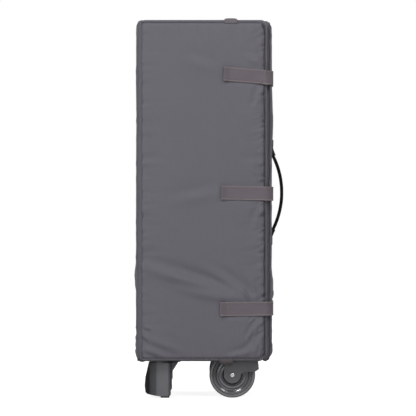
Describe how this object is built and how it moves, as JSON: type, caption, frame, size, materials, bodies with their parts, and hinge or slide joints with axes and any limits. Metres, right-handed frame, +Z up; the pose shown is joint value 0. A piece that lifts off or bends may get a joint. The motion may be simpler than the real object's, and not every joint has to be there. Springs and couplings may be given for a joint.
{
  "type": "playpen",
  "caption": "Folding playpen closed to an upright bundle: tube frame wrapped in its folding mattress and strapped shut, on moulded feet and transport wheels, with a carry handle.",
  "frame": {"origin": "on the floor, under the middle of the whole object's box", "axes": "+Z up, +X towards the side with the wheels and the carrying handle, +Y towards the back, away from the panel that the straps close over"},
  "size_m": [0.287, 0.2656, 0.733],
  "materials": {
    "wrap_fabric": "smooth coated polyester with a fine plain weave",
    "foam": "open-cell foam",
    "board": "pressed board",
    "strap_webbing": "woven webbing with stitched edges",
    "handle_webbing": "rolled black webbing",
    "leg_paint": "satin powder coat",
    "frame_plastic": "fine moulded texture",
    "foot_plastic": "fine moulded texture",
    "button_plastic": "light grey moulded plastic",
    "wheel_plastic": "glossy moulded plastic",
    "tyre_rubber": "smooth soft tread",
    "sole_rubber": "matt",
    "steel": "zinc plated",
    "wall_fabric": "gathered fabric and mesh"
  },
  "bodies": {
    "root": {"mattress_back_cover": "wrap_fabric", "mattress_back_board": "board", "mattress_back_foam": "foam", "leg_front_left": "leg_paint", "leg_front_right": "leg_paint", "leg_back_left": "leg_paint", "leg_back_right": "leg_paint", "corner_bracket_front_left": "frame_plastic", "corner_bracket_front_right": "frame_plastic", "corner_bracket_back_left": "frame_plastic", "corner_bracket_back_right": "frame_plastic", "rail_front_left_half": "leg_paint", "rail_front_right_half": "leg_paint", "rail_back_left_half": "leg_paint", "rail_back_right_half": "leg_paint", "rail_left_front_half": "leg_paint", "rail_left_back_half": "leg_paint", "rail_right_front_half": "leg_paint", "rail_right_back_half": "leg_paint", "latch_housing_front": "frame_plastic", "latch_housing_back": "frame_plastic", "latch_housing_left": "frame_plastic", "latch_housing_right": "frame_plastic", "latch_springs": "steel", "floor_bars": "leg_paint", "floor_hub": "frame_plastic", "hub_pull_tab": "strap_webbing", "hinge_pins": "steel", "folded_walls": "wall_fabric", "foot_front": "foot_plastic", "foot_back": "foot_plastic", "foot_soles": "sole_rubber", "wheel_fork_front": "frame_plastic", "wheel_fork_back": "frame_plastic", "wheel_axles": "steel"},
    "mattress_left": {"mattress_left_cover": "wrap_fabric", "mattress_left_board": "board", "mattress_left_foam": "foam"},
    "mattress_front": {"mattress_front_cover": "wrap_fabric", "mattress_front_board": "board", "mattress_front_foam": "foam", "strap_patches": "strap_webbing", "webbing_tabs": "strap_webbing"},
    "mattress_right": {"mattress_right_cover": "wrap_fabric", "mattress_right_board": "board", "mattress_right_foam": "foam", "strap_anchors": "strap_webbing", "handle_anchors": "handle_webbing"},
    "strap_top": {"strap_top": "strap_webbing"},
    "strap_middle": {"strap_middle": "strap_webbing"},
    "strap_lower": {"strap_lower": "strap_webbing"},
    "handle": {"handle_webbing": "handle_webbing"},
    "wheel_front": {"wheel_disc_front": "wheel_plastic", "tyre_front": "tyre_rubber"},
    "wheel_back": {"wheel_disc_back": "wheel_plastic", "tyre_back": "tyre_rubber"},
    "latch_button_front": {"latch_button_front": "button_plastic"},
    "latch_button_back": {"latch_button_back": "button_plastic"},
    "latch_button_left": {"latch_button_left": "button_plastic"},
    "latch_button_right": {"latch_button_right": "button_plastic"}
  },
  "joints": [
    {"name": "left_fold", "type": "hinge", "parent": "root", "child": "mattress_left", "pos_m": [-0.1435, 0.1328, 0.4], "axis": [0, 0, -1], "range_deg": [0, 90], "deforming": ["strap_top", "strap_middle", "strap_lower"]},
    {"name": "front_fold", "type": "hinge", "parent": "mattress_left", "child": "mattress_front", "pos_m": [-0.1435, -0.1292, 0.4], "axis": [0, 0, -1], "range_deg": [0, 90], "deforming": ["strap_top", "strap_middle", "strap_lower"]},
    {"name": "right_fold", "type": "hinge", "parent": "root", "child": "mattress_right", "pos_m": [0.1185, 0.1328, 0.4], "axis": [0, 0, 1], "range_deg": [0, 90]},
    {"name": "strap_top_peel", "type": "hinge", "parent": "mattress_right", "child": "strap_top", "pos_m": [0.1198, -0.1318, 0.618], "axis": [0, 0, 1], "range_deg": [0, 150]},
    {"name": "strap_middle_peel", "type": "hinge", "parent": "mattress_right", "child": "strap_middle", "pos_m": [0.1198, -0.1318, 0.395], "axis": [0, 0, 1], "range_deg": [0, 150]},
    {"name": "strap_lower_peel", "type": "hinge", "parent": "mattress_right", "child": "strap_lower", "pos_m": [0.1198, -0.1318, 0.174], "axis": [0, 0, 1], "range_deg": [0, 150]},
    {"name": "handle_swing", "type": "hinge", "parent": "mattress_right", "child": "handle", "pos_m": [0.1217, 0.0018, 0.398], "axis": [0, 0, 1], "range_deg": [-75, 75]},
    {"name": "wheel_front_roll", "type": "hinge", "parent": "root", "child": "wheel_front", "pos_m": [0.042, -0.0862, 0.0445], "axis": [0, 1, 0], "continuous": true},
    {"name": "wheel_back_roll", "type": "hinge", "parent": "root", "child": "wheel_back", "pos_m": [0.042, 0.0898, 0.0445], "axis": [0, 1, 0], "continuous": true},
    {"name": "latch_button_front_press", "type": "slide", "parent": "root", "child": "latch_button_front", "axis": [0, 0, 1], "range_m": [0, 0.004], "stiffness_N_per_m": 400, "springref_m": -0.002, "deforming": ["latch_springs"]},
    {"name": "latch_button_back_press", "type": "slide", "parent": "root", "child": "latch_button_back", "axis": [0, 0, 1], "range_m": [0, 0.004], "stiffness_N_per_m": 400, "springref_m": -0.002, "deforming": ["latch_springs"]},
    {"name": "latch_button_left_press", "type": "slide", "parent": "root", "child": "latch_button_left", "axis": [0, 0, 1], "range_m": [0, 0.004], "stiffness_N_per_m": 400, "springref_m": -0.002, "deforming": ["latch_springs"]},
    {"name": "latch_button_right_press", "type": "slide", "parent": "root", "child": "latch_button_right", "axis": [0, 0, 1], "range_m": [0, 0.004], "stiffness_N_per_m": 400, "springref_m": -0.002, "deforming": ["latch_springs"]}
  ]
}
